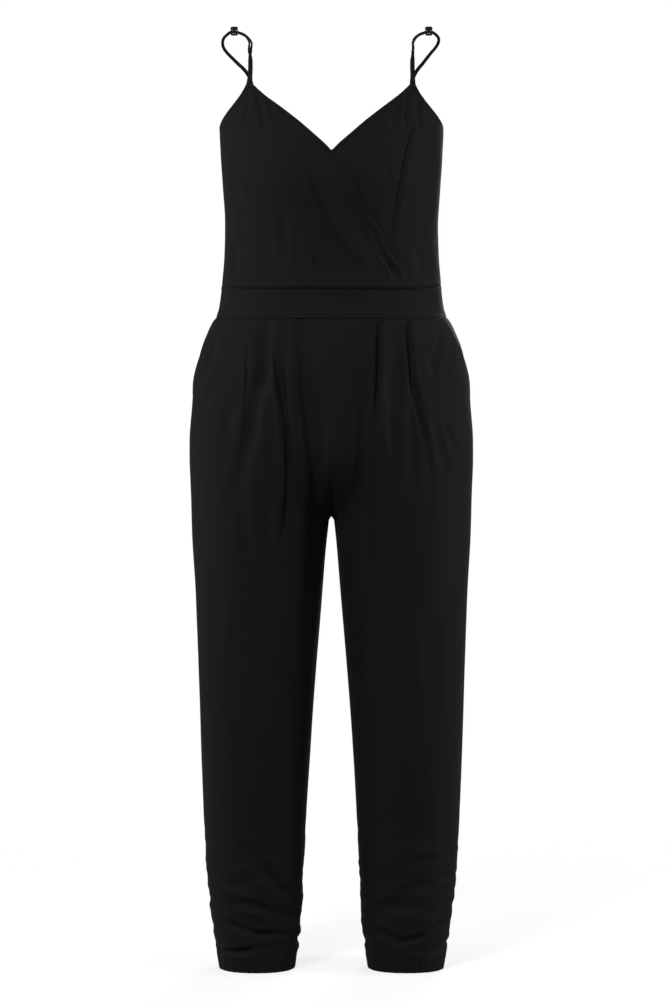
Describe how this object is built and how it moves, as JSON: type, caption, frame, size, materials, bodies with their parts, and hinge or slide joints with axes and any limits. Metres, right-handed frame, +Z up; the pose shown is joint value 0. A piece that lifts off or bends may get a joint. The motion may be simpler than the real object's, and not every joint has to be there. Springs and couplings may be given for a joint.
{
  "type": "jumpsuit",
  "caption": "Sleeveless wrap-front jumpsuit in black jersey with thin adjustable shoulder straps, a plain waistband, slanted pockets and pleated tapered trousers, filled out as worn.",
  "frame": {"origin": "midway between the tops of the two shoulder straps, at the height where they lie on the shoulders", "axes": "+Z up from the hems to the straps, -Y towards the front, +Y towards the back, +X towards the wearer's left"},
  "size_m": [0.438, 0.2739, 1.4569],
  "materials": {
    "jersey": "matt fine single jersey, black, with a faint sheen at grazing angles",
    "edging": "the same black jersey folded into narrow bindings and straps",
    "adjuster": "smooth black plastic with a soft shine"
  },
  "bodies": {
    "root": {"bodice_front_right": "jersey", "bodice_front_left": "jersey", "bodice_back": "jersey", "waistband_front": "jersey", "waistband_back": "jersey", "trouser_front_right": "jersey", "trouser_front_left": "jersey", "trouser_back_right": "jersey", "trouser_back_left": "jersey", "pocket_side_right": "jersey", "pocket_side_left": "jersey", "back_binding": "edging", "neck_binding_right": "edging", "neck_binding_left": "edging", "armhole_binding_right": "edging", "armhole_binding_left": "edging", "strap_tab_right": "edging", "strap_tab_left": "edging", "strap_right": "edging", "strap_left": "edging", "strap_adjuster_right": "adjuster", "strap_adjuster_left": "adjuster"}
  },
  "joints": []
}
